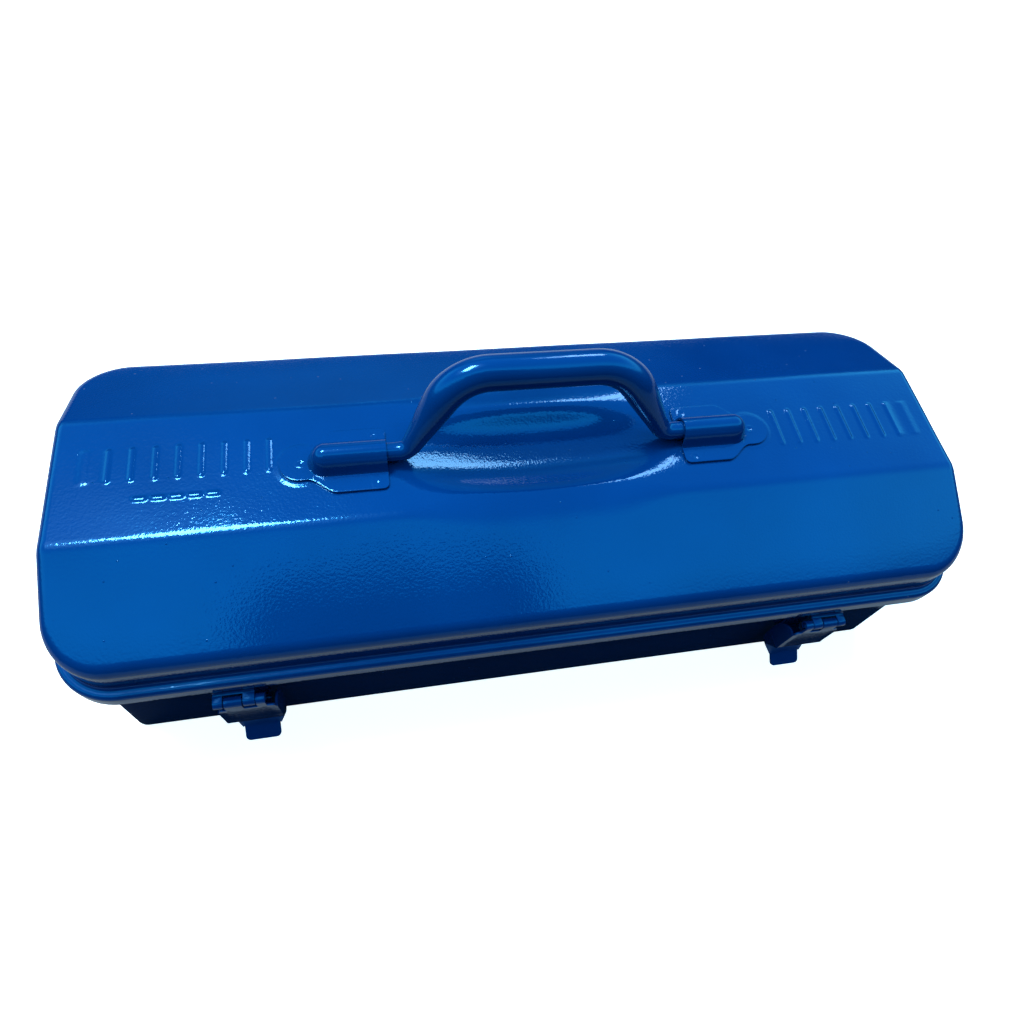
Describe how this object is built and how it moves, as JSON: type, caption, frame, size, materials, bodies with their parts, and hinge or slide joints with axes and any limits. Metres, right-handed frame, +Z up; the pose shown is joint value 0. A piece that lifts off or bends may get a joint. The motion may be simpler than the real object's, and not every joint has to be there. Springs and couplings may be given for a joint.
{
  "type": "metal tool box",
  "caption": "Long sheet-steel tool box with a camber-top hinged lid, a bent steel carry handle over a dished hand recess, and swing-down latches.",
  "frame": {"origin": "centre of the flat floor of the base, on the surface it stands on", "axes": "+X along the length, -Y towards the latches, +Y towards the hinges, +Z up"},
  "size_m": [0.412, 0.175, 0.1565],
  "materials": {
    "blue_enamel": "gloss enamel with fine orange peel"
  },
  "bodies": {
    "base": {"base_tray": "blue_enamel", "latch_keeper_left": "blue_enamel", "hinge_base_leaf_left": "blue_enamel", "hinge_pin_left": "blue_enamel", "latch_keeper_right": "blue_enamel", "hinge_base_leaf_right": "blue_enamel", "hinge_pin_right": "blue_enamel"},
    "lid": {"lid_shell": "blue_enamel", "handle_bracket_left": "blue_enamel", "latch_strap_left": "blue_enamel", "latch_pin_left": "blue_enamel", "hinge_lid_leaf_left": "blue_enamel", "handle_bracket_right": "blue_enamel", "latch_strap_right": "blue_enamel", "latch_pin_right": "blue_enamel", "hinge_lid_leaf_right": "blue_enamel"},
    "handle": {"handle_tube": "blue_enamel"},
    "latch_left": {"latch_lever_left": "blue_enamel"},
    "latch_right": {"latch_lever_right": "blue_enamel"}
  },
  "joints": [
    {"name": "lid_hinge", "type": "hinge", "parent": "base", "child": "lid", "pos_m": [0, 0.0829, 0.065], "axis": [-1, 0, 0], "range_deg": [0, 110]},
    {"name": "handle_swing", "type": "hinge", "parent": "lid", "child": "handle", "pos_m": [0, -0.001, 0.1178], "axis": [1, 0, 0], "range_deg": [-56, 104]},
    {"name": "latch_left_swing", "type": "hinge", "parent": "lid", "child": "latch_left", "pos_m": [-0.1348, -0.0829, 0.061], "axis": [-1, 0, 0], "range_deg": [0, 115]},
    {"name": "latch_right_swing", "type": "hinge", "parent": "lid", "child": "latch_right", "pos_m": [0.1348, -0.0829, 0.061], "axis": [-1, 0, 0], "range_deg": [0, 115]}
  ]
}
